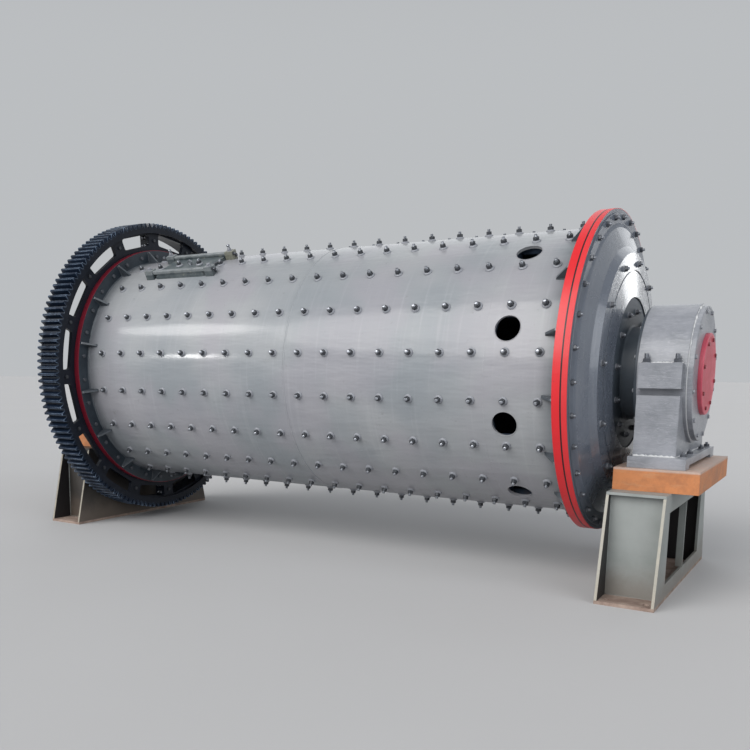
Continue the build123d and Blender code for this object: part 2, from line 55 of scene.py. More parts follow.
def node_x(node):
    """Lowest and highest X of a node."""
    low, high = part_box(node)
    return low.x, high.x


def node_radius(node):
    """Outer radius of a round node about the mill axis."""
    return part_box(node)[1].z - AXIS_Z


# Places taken from the frame
SHELL_RADIUS = node_radius("discharge_shell_course")
FLANGE_RADIUS = node_radius("discharge_shell_flange")
FLANGE_INNER, SHELL_END = node_x("discharge_shell_flange")
HEAD_SEAT_X = node_x("discharge_head")[1]
TRUNNION_BACK = node_x("discharge_trunnion")[0]
BARREL_NEAR, BARREL_FAR = node_x("discharge_bearing_cap")
BARREL_MIDDLE = (BARREL_NEAR + BARREL_FAR) / 2
COVER_FACE = node_x("discharge_outer_cover")[1]
INNER_COVER_FACE = node_x("discharge_inner_cover")[0]
COVER_RADIUS = node_radius("discharge_outer_cover")
CAP_FACE = node_x("discharge_end_cap")[1]
LUG_FRONT = -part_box("discharge_bearing_cap")[0].y
BEDPLATE_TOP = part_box("discharge_bedplate")[1].z
STAND_NEAR, STAND_FAR = node_x("discharge_stand_top")
STAND_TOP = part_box("discharge_stand_top")[1].z
STAND_END_Y = -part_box("discharge_stand_ends")[0].y
GEAR_TIP = node_radius("girth_gear_rear")

# Sizes of the castings that the small pieces sit on
HEAD_FLANGE = 0.044
HEAD_RIM_FACE = 0.054
HEAD_CONE_RADIUS = 1.09
HEAD_PAD_SLOPE = 0.077
HEAD_SEAT_RADIUS = 0.575
TRUNNION_FLANGE = 0.044
END_CAP_RADIUS = 0.300
HOUSING_HALF_WIDTH = 0.143
LUG_TOP_Z = AXIS_Z + 0.077
BASE_LEDGE_Z = AXIS_Z - 0.581
GEAR_WEB = 0.040
STAND_PLATE = 0.020
STAND_BASE_TOP = 0.024

# Liner bolts: twenty rows round the drum, eighteen bolts in a row
ROW_COUNT = 20
ROW_START = 7.5
ROW_STEP = 360 / ROW_COUNT
COLUMN_COUNT = 18
COLUMN_START = -2.095
COLUMN_STEP = 0.25

# Manhole: two liner bolts of its row come up through the cover, and the block past REAR_BLOCK_Y
# at the discharge end has a yellower paint
MANHOLE_ROW = 3
MANHOLE_COLUMNS = (2, 3)
MANHOLE_X = -1.455
MANHOLE_ANGLE = ROW_START + MANHOLE_ROW * ROW_STEP
COVER_TOP = SHELL_RADIUS + 0.022
BAR_TOP = SHELL_RADIUS + 0.054
BLOCK_TOP = SHELL_RADIUS + 0.066
BLOCK_X = 0.366
BLOCK_ACROSS = 0.177
BLOCK_HALF_LENGTH = 0.045
BLOCK_HALF_WIDTH = 0.035
REAR_BLOCK_Y = -0.50

# Its fittings: the bolts in a block's end as (across, drop), the rear blocks' long studs with
# their nuts, the lifting eye, and the rod out of the front block
END_BOLT_PAIR = (-0.015, 0.022), (0.015, 0.050)
LONG_STUD = 0.0125, 0.062
LONG_STUD_NUT = 0.032, 0.013, 0.045
EYE_RADIUS, EYE_WIRE = 0.021, 0.0055
ROD_RADIUS, ROD_LENGTH = 0.0095, 0.095
ROD_SINK, ROD_DROP = 0.002, 0.020

# Ports, with a bead round each
PORT_COUNT = 10
PORT_START = 16.5
PORT_X = 1.905
PORT_RADIUS = 0.0935
PORT_BEAD_RADIUS = PORT_RADIUS + 0.0015
PORT_BEAD_WIRE = 0.0030

# Gussets, each midway between two flange bolts
GUSSET_COUNT = 16
GUSSET_LENGTH = 0.108
GUSSET_HEIGHT = 0.112
GUSSET_HALF = 0.009
GUSSET_PHASES = ((-1, 11.5), (1, -8.5))
FLANGE_BOLTS = 32
FLANGE_BOLT_RADIUS = 1.165

# Girth gear: the angle of one joint of its halves, and the bolts of the joint lugs
GEAR_SPLIT = 86.5
GEAR_LUG_HALF = 0.034
GEAR_LUG_DEPTHS = (0.070, 0.110)
GEAR_LUG_RADII = (1.285, 1.365)

# Bearing bolts: on the cap's lugs, and on the ledge of the housing's foot
LUG_BOLT_OFFSETS = (-0.100, 0.105)
LUG_BOLT_INSET = 0.033
FOOT_BOLT_REACHES = (0.25, 0.52)
FOOT_BOLT_OFFSET = 0.187

# What all bolts share: washers, how far a part sinks into the one below, and the thread
CUP_WASHER_HEIGHT = 0.013
FLAT_WASHER_HEIGHT = 0.005
NUT_SINK = 0.001
STUD_SINK = 0.003
STUD_SEGMENTS = 10
THREAD_PITCH = 0.0042
THREAD_DEPTH = THREAD_PITCH * 0.42

# Sections of the beads round the drum, as (along, out)
SEAM_X = 0.013
SEAM_SECTION = ((-0.010, -0.002), (0.010, -0.002), (0.007, 0.0018), (0.0, 0.0028),
                (-0.007, 0.0018))
FILLET_SECTION = ((0.003, -0.003), (0.003, 0.012), (-0.004, 0.007), (-0.010, 0.002),
                  (-0.014, -0.003))
SEALANT_SECTION = ((0.0, -0.004), (0.0, 0.004), (0.003, 0.0035), (0.005, -0.001),
                   (0.004, -0.004))
BAND_SEGMENTS = 420

# Straight beads: radius, spacing of the lumps, and how much their size varies
GUSSET_BEAD = 0.0045, 0.008, 0.18
STAND_BEAD = 0.0055, 0.010, 0.18
FOOT_BEAD = 0.0060, 0.012, 0.50
LEDGE_BEAD = 0.0085, 0.009, 0.55
LUG_BEAD = 0.0070, 0.009, 0.55
LUG_BEAD_INSET = 0.062
BEAD_LIFT = 0.001
SEALANT_LIFT = 0.002
BEAD_SIDES = 8
BEAD_END = 0.6

# Sealant on the outer covers: how much its ring varies, and patches at angles in degrees
SEALANT_ROUGH = 0.45
PATCH_COUNT, PATCH_START, PATCH_STEP = 10, 22, 9
PATCH_LENGTHS = 4, 9
PATCH_RADII = 0.005, 0.011
PATCH_ROUGH = 0.5

# Edges sharper than this many degrees stay sharp
HARDWARE_SHARP, WELD_SHARP, SEALANT_SHARP = 32, 50, 60

SEEDS = {"liner_bolts": 11, "drum_end_bolts": 23, "gear_bolts": 29, "bearing_bolts": 37,
         "drum_welds": 41, "stand_welds": 43, "sealant": 47}

CAMERA_PLACE = Vector((4.05983, -6.96774, 1.62794))
CAMERA_FORWARD = Vector((-0.541229, 0.825952, -0.157716))
CAMERA_UP = Vector((-0.092729, 0.127791, 0.987457))
CAMERA_LENS = 40.83
CAMERA_SENSOR = 36.0
CAMERA_SHIFT = (0.0966, 0.1699)

WORLD_COLOUR = (0.94, 0.97, 1.0, 1.0)
HORIZON_END, OVERHEAD_START = 0.30, 0.75
HORIZON_STRENGTH, OVERHEAD_STRENGTH = 0.53, 0.34
# Each light: where it comes from, strength, spread in degrees and colour
LIGHTS = {
    "front_light": ((-0.22, -0.80, 0.55), 2.6, 46, (1.0, 0.985, 0.965)),
    "strip_light": ((-0.65, -0.58, 0.49), 0.26, 9, (1.0, 0.99, 0.98)),
    "low_strip_light": ((-0.65, -0.74, 0.17), 0.15, 3, (1.0, 0.99, 0.98)),
    "end_light": ((0.85, -0.40, 0.50), 1.3, 60, (0.95, 0.97, 1.0)),
    "rear_light": ((-0.20, 0.85, 0.60), 0.45, 60, (0.95, 0.97, 1.0)),
    "rear_strip_light": ((0.24, 0.96, 0.125), 0.030, 6, (1.0, 1.0, 1.0)),
}
FLOOR_REACH = 120.0
FLOOR_SIDES = 64


class Ring(NamedTuple):
    """A ring of bolts: how many, the angle of the first, and their distance from the axis."""

    bolts: int
    start: float
    radius: float


HEAD_PAD_RING = Ring(12, 5.0, 0.83)
TRUNNION_RING = Ring(12, 6.0, 0.470)
SPOKE_RING = Ring(16, GEAR_SPLIT, 1.330)
COVER_RING = Ring(12, 15.0, 0.464)
END_CAP_RING = Ring(8, 12.0, 0.255)


class Bolt(NamedTuple):
    """A kind of bolt: its nut, and its washer's radius and stud's radius and reach, if any."""

    across: float
    height: float
    slot: str
    nut: str = "nut"
    washer: float = 0.0
    shank: float = 0.0
    reach: float = 0.0


BOLTS = {
    "liner": Bolt(0.041, 0.024, "shell_paint", "nut", 0.034, 0.0125, 0.022),
    "flange": Bolt(0.037, 0.020, "head_paint", "slate", 0.0, 0.0115, 0.018),
    "flange_inner": Bolt(0.034, 0.016, "shell_paint", "slate"),
    "head_pad": Bolt(0.038, 0.019, "head_paint", "slate", 0.024, 0.0115, 0.016),
    "trunnion": Bolt(0.037, 0.020, "trunnion_paint", "slate", 0.023, 0.0115, 0.014),
    "gear_spoke": Bolt(0.032, 0.015, "gear_paint"),
    "gear_joint": Bolt(0.034, 0.018, "gear_paint", "nut", 0.0, 0.010, 0.016),
    "manhole_block": Bolt(0.036, 0.018, "shell_paint", "washer", 0.024),
    "manhole_end": Bolt(0.028, 0.014, "shell_paint", "nut", 0.0, 0.008, 0.012),
    "bearing_lug": Bolt(0.046, 0.026, "housing_paint", "slate", 0.032, 0.016, 0.038),
    "bearing_foot": Bolt(0.038, 0.020, "housing_paint", "slate", 0.028, 0.012, 0.018),
    "bearing_cover": Bolt(0.028, 0.012, "housing_paint", "washer"),
    "end_cap": Bolt(0.026, 0.010, "cap_paint", "red"),
}

# Finishes of the small pieces: name, dark and light colour, metallic, roughness, grain
FINISHES = {
    "washer": ("washer_paint", (0.17, 0.18, 0.20), (0.27, 0.28, 0.31), 0.0, 0.38, 20.0),
    "nut": ("dark_nut", (0.014, 0.017, 0.023), (0.062, 0.067, 0.076), 0.15, 0.44, 40.0),
    "slate": ("slate_nut", (0.040, 0.045, 0.055), (0.095, 0.102, 0.118), 0.2, 0.34, 30.0),
    "stud": ("bright_stud", (0.16, 0.17, 0.19), (0.42, 0.44, 0.48), 0.85, 0.34, 30.0),
    "red": ("red_bolt", (0.12, 0.020, 0.026), (0.26, 0.040, 0.052), 0.0, 0.45, 30.0),
    "sealant": ("sealant", (0.42, 0.43, 0.44), (0.62, 0.63, 0.64), 0.0, 0.55, 40.0),
}

# Dark and light of the flanges' reds, and the dark line where two flanges meet
# The feed flange's darker crimson is painted shade from the girth gear beside it.
CRIMSON = (0.150, 0.006, 0.018), (0.240, 0.018, 0.034)
RED = (0.50, 0.010, 0.015), (0.62, 0.022, 0.029)
JOINT_COLOUR = (0.010, 0.003, 0.004)
JOINT_HALF_WIDTH = 0.0055
RIM_DEPTH = 0.004

# Sockets that the Mix node uses for colours, by number, since their names repeat
MIX_FACTOR, MIX_A, MIX_B, MIX_RESULT = 0, 6, 7, 2


# Shader helpers

def preset(node, **sockets):
    """Sets plain values on a node's sockets, with _ for a space in their names."""
    for socket, value in sockets.items():
        node.inputs[socket.replace("_", " ")].default_value = value


class Shader:
    """One material's nodes, in short calls; edge is the radius that softens sharp edges."""

    def __init__(self, name, edge=0.0, **sockets):
        self.material = bpy.data.materials.new(name)
        self.material.use_nodes = True
        self.tree = self.material.node_tree
        self.surface = self.tree.nodes["Principled BSDF"]
        preset(self.surface, **sockets)
        self.place = self.tree.nodes.new("ShaderNodeTexCoord").outputs["Object"]
        self.normal = self.surface.inputs["Normal"]
        if edge:
            bevel = self.node("ShaderNodeBevel", samples=4)
            preset(bevel, Radius=edge)
            self.feed(self.normal, bevel.outputs["Normal"])

    def node(self, kind, **settings):
        """A new node of a kind, with some of its settings."""
        made = self.tree.nodes.new(kind)
        for key, value in settings.items():
            setattr(made, key, value)
        return made

    def feed(self, socket, value):
        """Links an output to a socket, or sets a plain value on it."""
        if isinstance(value, bpy.types.NodeSocket):
            self.tree.links.new(value, socket)
        else:
            socket.default_value = value

    def math(self, operation, a, b=0.0):
        """One step of arithmetic on outputs or plain numbers."""
        made = self.node("ShaderNodeMath", operation=operation)
        self.feed(made.inputs[0], a)
        self.feed(made.inputs[1], b)
        return made.outputs[0]

    def times(self, a, b):
        return self.math("MULTIPLY", a, b)

    def scaled(self, vector, scale):
        """A vector multiplied by three factors."""
        made = self.node("ShaderNodeVectorMath", operation="MULTIPLY")
        self.feed(made.inputs[0], vector)
        made.inputs[1].default_value = scale
        return made.outputs[0]

    def noise(self, scale, detail=3.0, roughness=0.55, vector=None, distortion=0.0):
        """Noise between 0 and 1, in the object's own metres unless a vector is given."""
        made = self.node("ShaderNodeTexNoise")
        self.feed(made.inputs["Vector"], self.place if vector is None else vector)
        preset(made, Scale=scale, Detail=detail, Roughness=roughness, Distortion=distortion)
        return made.outputs["Fac"]

    def steps(self, value, low, high):
        """0 below low, 1 above high, smooth between."""
        made = self.node("ShaderNodeMapRange", interpolation_type="SMOOTHSTEP")
        self.feed(made.inputs["Value"], value)
        preset(made, From_Min=low, From_Max=high)
        return made.outputs["Result"]

    def span(self, value, low, high):
        """Stretches 0..1 to low..high."""
        made = self.node("ShaderNodeMapRange")
        self.feed(made.inputs["Value"], value)
        preset(made, To_Min=low, To_Max=high)
        return made.outputs["Result"]

    def near(self, value, centre, reach):
        """1 where the value is within reach of the centre, else 0."""
        off = self.math("ABSOLUTE", self.math("SUBTRACT", value, centre))
        return self.math("LESS_THAN", off, reach)

    def mix(self, factor, a, b):
        """Colour a where the factor is 0 and colour b where it is 1."""
        made = self.node("ShaderNodeMix", data_type="RGBA")
        self.feed(made.inputs[MIX_FACTOR], factor)
        for socket, colour in ((MIX_A, a), (MIX_B, b)):
            plain = not isinstance(colour, bpy.types.NodeSocket)
            self.feed(made.inputs[socket], (*colour, 1.0) if plain else colour)
        return made.outputs[MIX_RESULT]

    def bump(self, height, strength, distance):
        """Adds a bump on top of what the normal already has."""
        made = self.node("ShaderNodeBump")
        preset(made, Strength=strength, Distance=distance)
        self.feed(made.inputs["Height"], height)
        if self.normal.is_linked:
            self.feed(made.inputs["Normal"], self.normal.links[0].from_socket)
        self.feed(self.normal, made.outputs["Normal"])

    def worn_and_glinting_edges(self, radius):
        """1 within a radius of the sharp edges, 0 on the flats."""
        softened = self.node("ShaderNodeBevel", samples=6)
        preset(softened, Radius=radius)
        made = self.node("ShaderNodeVectorMath", operation="DOT_PRODUCT")
        self.feed(made.inputs[0], softened.outputs["Normal"])
        self.feed(made.inputs[1], self.node("ShaderNodeNewGeometry").outputs["True Normal"])
        return self.math("SUBTRACT", 1.0, self.steps(made.outputs["Value"], 0.80, 0.98))

    def colour(self, value):
        self.feed(self.surface.inputs["Base Color"], value)

    def roughness(self, value, low, high):
        """Roughness between low and high where the value runs from 0 to 1."""
        self.feed(self.surface.inputs["Roughness"], self.span(value, low, high))

    def split(self, vector):
        """A vector's three parts."""
        made = self.node("ShaderNodeSeparateXYZ")
        self.feed(made.inputs[0], vector)
        return made.outputs["X"], made.outputs["Y"], made.outputs["Z"]

    def axis_parts(self):
        """Along the mill, angle round it and radius from it, as three outputs."""
        x, y, z = self.split(self.place)
        up = self.math("SUBTRACT", z, AXIS_Z)
        towards = self.times(y, -1.0)
        angle = self.math("ARCTAN2", up, towards)
        square = self.math("ADD", self.times(up, up), self.times(towards, towards))
        return x, angle, self.math("SQRT", square)

    def vector(self, x, y, z):
        """Three outputs or numbers as one vector."""
        made = self.node("ShaderNodeCombineXYZ")
        for socket, value in zip(made.inputs, (x, y, z)):
            self.feed(socket, value)
        return made.outputs[0]

    def facing(self):
        """The surface normal's three parts in the object's own space."""
        return self.split(self.node("ShaderNodeTexCoord").outputs["Normal"])


# Paints

def drum_noise(shader, along, round_the_drum):
    """Noise on the unrolled drum, with its own stretch each way."""
    x, angle, _ = shader.axis_parts()
    place = shader.vector(shader.times(x, along), shader.times(angle, round_the_drum), 0.0)
    return shader.noise(1.0, 4.0, 0.6, place)


def turned_noise(shader, rings, turns):
    """Noise like the marks of a lathe on a face across the mill."""
    _, angle, radius = shader.axis_parts()
    place = shader.vector(shader.times(radius, rings), shader.times(angle, turns), 0.0)
    return shader.noise(1.0, 3.0, 0.6, place)


def shell_paint():
    """Satin silver-grey paint on rolled plate, a little wavy, with roller marks, dust, and painted
    shade with dirt by the flanges.
    """
    s = Shader("shell_paint", 0.003, Coat_Weight=0.34, Coat_Roughness=0.11,
               Specular_IOR_Level=0.25)
    patches = s.noise(0.9, 3.0, 0.5)
    tint = s.noise(1.6, 2.0, 0.5, s.scaled(s.place, (1.0, 1.4, 0.7)))
    rollers = drum_noise(s, 26.0, 1.2)
    grey = s.mix(s.steps(patches, 0.36, 0.64), (0.208, 0.227, 0.245), (0.278, 0.288, 0.300))
    tinted = s.mix(s.times(s.steps(tint, 0.42, 0.62), 0.55), grey, (0.262, 0.253, 0.282))
    lined = s.mix(s.times(s.steps(rollers, 0.50, 0.78), 0.22), tinted, (0.36, 0.37, 0.39))
    dirt = s.times(s.steps(s.noise(14.0, 6.0, 0.7), 0.60, 0.82), 0.45)
    dirty = s.mix(dirt, lined, (0.11, 0.105, 0.10))
    x, _, _ = s.axis_parts()
    # Painted shade with some dirt: the shell darkens towards both flanges.
    by_flange = s.steps(s.math("ABSOLUTE", x), FLANGE_INNER - 0.15, FLANGE_INNER - 0.01)
    shade = s.times(by_flange, s.span(s.noise(5.0, 4.0, 0.6), 0.25, 0.85))
    s.colour(s.mix(shade, dirty, (0.075, 0.086, 0.098)))
    s.roughness(s.noise(5.0, 4.0, 0.6), 0.26, 0.44)
    s.bump(drum_noise(s, 0.8, 3.4), 0.70, 0.028)
    s.bump(s.noise(160.0, 2.0, 0.5), 0.10, 0.002)
    return s.material


def gusset_paint():
    """Dark slate on small plates, the plate grey darkened as painted shade, with a painted
    highlight on their outer edges.
    """
    s = Shader("gusset_paint", 0.003, Coat_Weight=0.2, Coat_Roughness=0.25)
    _, _, radius = s.axis_parts()
    cloudy = s.noise(8.0, 4.0, 0.6)
    # Painted shade: the dark slate stands in for plate grey in shadow.
    slate = s.mix(cloudy, (0.036, 0.044, 0.054), (0.072, 0.084, 0.098))
    outer = SHELL_RADIUS + GUSSET_HEIGHT
    # Painted highlight: the outer edges are paler, as where light falls on them.
    pale_mask = s.steps(radius, outer - 0.006, outer - 0.001)
    s.colour(s.mix(s.times(pale_mask, 0.5), slate, (0.30, 0.31, 0.33)))
    s.roughness(cloudy, 0.30, 0.50)
    s.bump(s.noise(60.0, 3.0, 0.6), 0.15, 0.003)
    return s.material


def manhole_paint():
    """Grey-green paint, scuffed pale in patches, with a painted highlight on the tops of the bars
    and blocks.
    """
    s = Shader("manhole_paint", 0.003, Coat_Weight=0.2, Coat_Roughness=0.3)
    cloudy = s.noise(9.0, 5.0, 0.65)
    grey = s.mix(s.steps(cloudy, 0.34, 0.66), (0.034, 0.048, 0.056), (0.090, 0.108, 0.114))
    scuffed = s.steps(s.noise(26.0, 5.0, 0.7), 0.56, 0.70)
    _, _, radius = s.axis_parts()
    # Painted highlight: the tops of the bars and blocks are paler.
    upper = s.steps(radius, BAR_TOP - 0.010, BAR_TOP - 0.002)
    grey = s.mix(s.times(upper, s.span(cloudy, 0.0, 0.9)), grey, (0.30, 0.32, 0.33))
    x, y, _ = s.split(s.place)
    block_start = MANHOLE_X + BLOCK_X - BLOCK_HALF_LENGTH - 0.004
    rear_block = s.times(s.math("GREATER_THAN", x, block_start),
                         s.math("GREATER_THAN", y, REAR_BLOCK_Y))
    grey = s.mix(s.times(rear_block, s.span(cloudy, 0.4, 0.9)), grey, (0.200, 0.195, 0.140))
    s.colour(s.mix(s.times(scuffed, 0.5), grey, (0.27, 0.27, 0.22)))
    s.roughness(cloudy, 0.34, 0.58)
    s.bump(s.noise(60.0, 4.0, 0.6), 0.25, 0.003)
    return s.material


def on_rim(s, radius):
    """1 on the flanges' outer rim."""
    return s.math("GREATER_THAN", radius, FLANGE_RADIUS - RIM_DEPTH)


def jointed(s, along, red):
    """The rim's red, dark where two flanges meet."""
    return s.mix(s.near(along, SHELL_END, JOINT_HALF_WIDTH), red, JOINT_COLOUR)


def flange_paint(name, red_dark, red_light):
    """Red on the outer rim with a dark line at the joint; on the faces dark slate, the plate grey
    darkened as painted shade.
    """
    s = Shader(name, 0.003, Coat_Weight=0.08, Coat_Roughness=0.25, Specular_IOR_Level=0.35)
    x, _, radius = s.axis_parts()
    fade = s.noise(3.0, 3.0, 0.6)
    worn = s.steps(s.noise(34.0, 5.0, 0.65), 0.60, 0.74)
    red = s.mix(s.times(worn, 0.35), s.mix(fade, red_dark, red_light), (0.20, 0.03, 0.03))
    red = jointed(s, s.math("ABSOLUTE", x), red)
    # Painted shade: the faces' dark slate stands in for plate grey in shadow.
    slate = s.mix(s.steps(fade, 0.35, 0.65), (0.015, 0.021, 0.029), (0.030, 0.040, 0.051))
    s.colour(s.mix(on_rim(s, radius), slate, red))
    s.roughness(s.noise(8.0, 3.0, 0.6), 0.26, 0.44)
    s.bump(s.noise(60.0, 3.0, 0.6), 0.12, 0.003)
    return s.material


def gear_paint():
    """Blue-black paint with a film of oil; bluer teeth as painted reflection, bright tooth edges
    partly wear, partly painted glints.
    """
    s = Shader("gear_paint", 0.002, Coat_Weight=0.16, Coat_Roughness=0.10, Specular_IOR_Level=0.15)
    _, _, radius = s.axis_parts()
    cloudy = s.noise(7.0, 4.0, 0.6)
    teeth = s.steps(radius, GEAR_TIP - 0.060, GEAR_TIP - 0.010)
    web = s.mix(cloudy, (0.005, 0.007, 0.011), (0.013, 0.016, 0.025))
    # Painted reflection: the teeth are bluer than the web, standing in for the sky in their gloss.
    paint = s.mix(teeth, web, s.mix(cloudy, (0.003, 0.007, 0.016), (0.008, 0.016, 0.034)))
    # Partly wear, partly painted glints: bright blue patches on the teeth's sharp edges.
    pale_mask = s.times(s.worn_and_glinting_edges(0.012), s.steps(s.noise(6.0, 4.0, 0.7), 0.36, 0.60))
    s.colour(s.mix(s.times(teeth, pale_mask), paint, (0.22, 0.30, 0.42)))
    s.roughness(s.noise(18.0, 4.0, 0.6), 0.26, 0.50)
    s.bump(s.noise(90.0, 3.0, 0.6), 0.16, 0.003)
    return s.material


def head_paint():
    """Slate gloss on a turned casting; its flange's rim is red with a dark joint."""
    s = Shader("head_paint", 0.004, Coat_Roughness=0.10)
    x, _, radius = s.axis_parts()
    turned = turned_noise(s, 60.0, 2.2)
    cloudy = s.noise(2.2, 4.0, 0.6)
    slate = s.mix(cloudy, (0.068, 0.081, 0.107), (0.130, 0.148, 0.181))
    slate = s.mix(s.times(s.steps(turned, 0.52, 0.76), 0.25), slate, (0.20, 0.21, 0.23))
    along = s.math("ABSOLUTE", x)
    within = s.math("LESS_THAN", along, SHELL_END + GEAR_WEB + HEAD_FLANGE + 0.001)
    red = jointed(s, along, s.mix(s.noise(3.0, 3.0, 0.6), *RED))
    s.colour(s.mix(s.times(on_rim(s, radius), within), slate, red))
    glossy = s.math("LESS_THAN", radius, HEAD_CONE_RADIUS)
    rough = s.span(s.noise(6.0, 4.0, 0.6), 0.46, 0.64)
    rough = s.math("SUBTRACT", rough, s.times(glossy, 0.28))
    s.feed(s.surface.inputs["Roughness"], rough)
    s.feed(s.surface.inputs["Coat Weight"], s.span(glossy, 0.1, 0.8))
    s.bump(turned, 0.35, 0.003)
    s.bump(turned_noise(s, 15.0, 4.0), 0.45, 0.006)
    s.bump(s.noise(7.0, 4.0, 0.6), 0.45, 0.010)
    return s.material


def trunnion_paint():
    """Dark grey paint over a turned surface."""
    s = Shader("trunnion_paint", 0.003, Coat_Weight=0.08, Coat_Roughness=0.3,
               Specular_IOR_Level=0.3)
    turned = turned_noise(s, 80.0, 1.5)
    s.colour(s.mix(s.noise(5.0, 4.0, 0.6), (0.030, 0.039, 0.051), (0.082, 0.100, 0.122)))
    s.roughness(turned, 0.36, 0.58)
    s.bump(turned, 0.35, 0.002)
    return s.material


def housing_paint():
    """Grey paint brushed over a rough casting, with pale sealant smears."""
    s = Shader("housing_paint", 0.006, Coat_Weight=0.38, Coat_Roughness=0.18)
    strokes = s.noise(1.0, 5.0, 0.7, s.scaled(s.place, (9.0, 9.0, 46.0)), 1.3)
    cloudy = s.noise(3.2, 4.0, 0.6)
    grey = s.mix(s.steps(cloudy, 0.30, 0.70), (0.160, 0.172, 0.194), (0.262, 0.272, 0.302))
    grey = s.mix(s.times(s.steps(strokes, 0.46, 0.72), 0.5), grey, (0.34, 0.35, 0.38))
    smears = s.noise(1.0, 6.0, 0.75, s.scaled(s.place, (14.0, 14.0, 42.0)), 1.2)
    s.colour(s.mix(s.times(s.steps(smears, 0.62, 0.74), 0.6), grey, (0.50, 0.51, 0.53)))
    s.roughness(strokes, 0.34, 0.62)
    s.bump(strokes, 0.45, 0.005)
    s.bump(s.noise(13.0, 4.0, 0.6, None, 0.8), 0.50, 0.009)
    return s.material


def cap_paint():
    """Crimson paint, pinkish where it has chalked."""
    s = Shader("cap_paint", 0.005, Coat_Weight=0.08, Coat_Roughness=0.3, Specular_IOR_Level=0.35)
    chalk = s.steps(s.noise(5.0, 5.0, 0.65), 0.42, 0.70)
    _, _, radius = s.axis_parts()
    edge = s.steps(radius, END_CAP_RADIUS - 0.030, END_CAP_RADIUS - 0.002)
    crimson = s.mix(chalk, (0.43, 0.022, 0.048), (0.60, 0.075, 0.115))
    s.colour(s.mix(s.times(edge, 0.4), crimson, (0.56, 0.15, 0.20)))
    s.roughness(s.noise(12.0, 4.0, 0.6), 0.32, 0.52)
    s.bump(s.noise(40.0, 3.0, 0.6), 0.2, 0.003)
    return s.material


def primer():
    """Orange primer on mill plate: mottled, paler in worn streaks and browned, pale along the top
    edge.
    """
    s = Shader("primer", 0.004)
    _, _, height = s.split(s.place)
    mottle = s.noise(6.5, 6.0, 0.7)
    pale_mask = s.noise(1.0, 5.0, 0.7, s.scaled(s.place, (5.0, 5.0, 34.0)))
    orange = s.mix(s.steps(mottle, 0.34, 0.66), (0.32, 0.120, 0.046), (0.48, 0.180, 0.062))
    orange = s.mix(s.times(s.steps(pale_mask, 0.50, 0.72), 0.35), orange, (0.42, 0.26, 0.14))
    spots = s.steps(s.noise(42.0, 4.0, 0.7), 0.66, 0.76)
    orange = s.mix(s.times(spots, 0.7), orange, (0.14, 0.062, 0.034))
    edge = s.times(s.steps(height, BEDPLATE_TOP - 0.022, BEDPLATE_TOP - 0.008),
                   s.span(s.noise(30.0, 4.0, 0.7), 0.25, 1.0))
    s.colour(s.mix(edge, orange, (0.42, 0.38, 0.35)))
    s.roughness(mottle, 0.46, 0.72)
    s.bump(s.noise(55.0, 4.0, 0.65), 0.30, 0.003)
    return s.material


def stand_inside(s, word):
    """1 on the plate faces that look into the stand's box, where the near-black colour is painted
    shade.
    """
    x, y, _ = s.split(s.place)
    facing_x, facing_y, facing_z = s.facing()
    outwards = s.times(facing_x, s.math("SIGN", x))
    towards = {"inner_side": outwards, "outer_side": s.times(outwards, -1.0),
               "ends": s.times(s.times(facing_y, s.math("SIGN", y)), -1.0),
               "top": s.times(facing_z, -1.0)}[word]
    return s.math("GREATER_THAN", towards, 0.5)


def stand_paint(end, word, dark, light):
    """Paint on stand plate; the flame-cut edges that face front or rear stay pale."""
    s = Shader(f"{end}_stand_{word}_paint", 0.003, Coat_Weight=0.1, Coat_Roughness=0.4)
    cloudy = s.noise(2.4, 4.0, 0.6)
    painted = s.mix(s.steps(cloudy, 0.30, 0.70), dark, light)
    _, _, height = s.split(s.place)
    splashed = s.math("ADD", height, s.span(s.noise(4.0, 4.0, 0.7), -0.18, 0.18))
    mud = s.math("SUBTRACT", 1.0, s.steps(splashed, 0.02, 0.34))
    painted = s.mix(s.times(mud, 0.6), painted, (0.135, 0.105, 0.082))
    if "side" in word:
        _, facing_y, facing_z = s.facing()
        slanted = s.times(s.steps(s.math("ABSOLUTE", facing_y), 0.70, 0.85),
                          s.steps(facing_z, 0.03, 0.10))
        edge = s.times(slanted, s.span(s.noise(16.0, 5.0, 0.75), 0.1, 1.2))
        painted = s.mix(edge, painted, (0.36, 0.33, 0.27))
    rust = s.steps(s.noise(17.0, 6.0, 0.72), 0.66, 0.76)
    painted = s.mix(s.times(rust, 0.6), painted, (0.12, 0.060, 0.036))
    # Painted shade: the faces inside the box are near black.
    s.colour(s.mix(stand_inside(s, word), painted, (0.010, 0.009, 0.010)))
    s.roughness(cloudy, 0.40, 0.62)
    s.bump(s.noise(70.0, 4.0, 0.6), 0.18, 0.002)
    return s.material


def base_paint():
    """Worn brown primer, dusty pink where feet and rain have been."""
    s = Shader("base_paint", 0.003)
    dust = s.noise(7.0, 6.0, 0.7)
    s.colour(s.mix(s.steps(dust, 0.32, 0.68), (0.190, 0.130, 0.105), (0.345, 0.265, 0.220)))
    s.roughness(dust, 0.58, 0.80)
    s.bump(s.noise(60.0, 4.0, 0.65), 0.3, 0.003)
    return s.material


def lining_steel():
    """Cast wear plate: dark, blue-black where it is clean and brown where it rusts."""
    s = Shader("lining_steel", Metallic=0.35)
    rust = s.steps(s.noise(9.0, 6.0, 0.7), 0.52, 0.72)
    s.colour(s.mix(s.times(rust, 0.45), (0.034, 0.052, 0.086), (0.090, 0.058, 0.044)))
    s.roughness(s.noise(20.0, 4.0, 0.6), 0.45, 0.70)
    s.bump(s.noise(30.0, 5.0, 0.65), 0.4, 0.006)
    return s.material


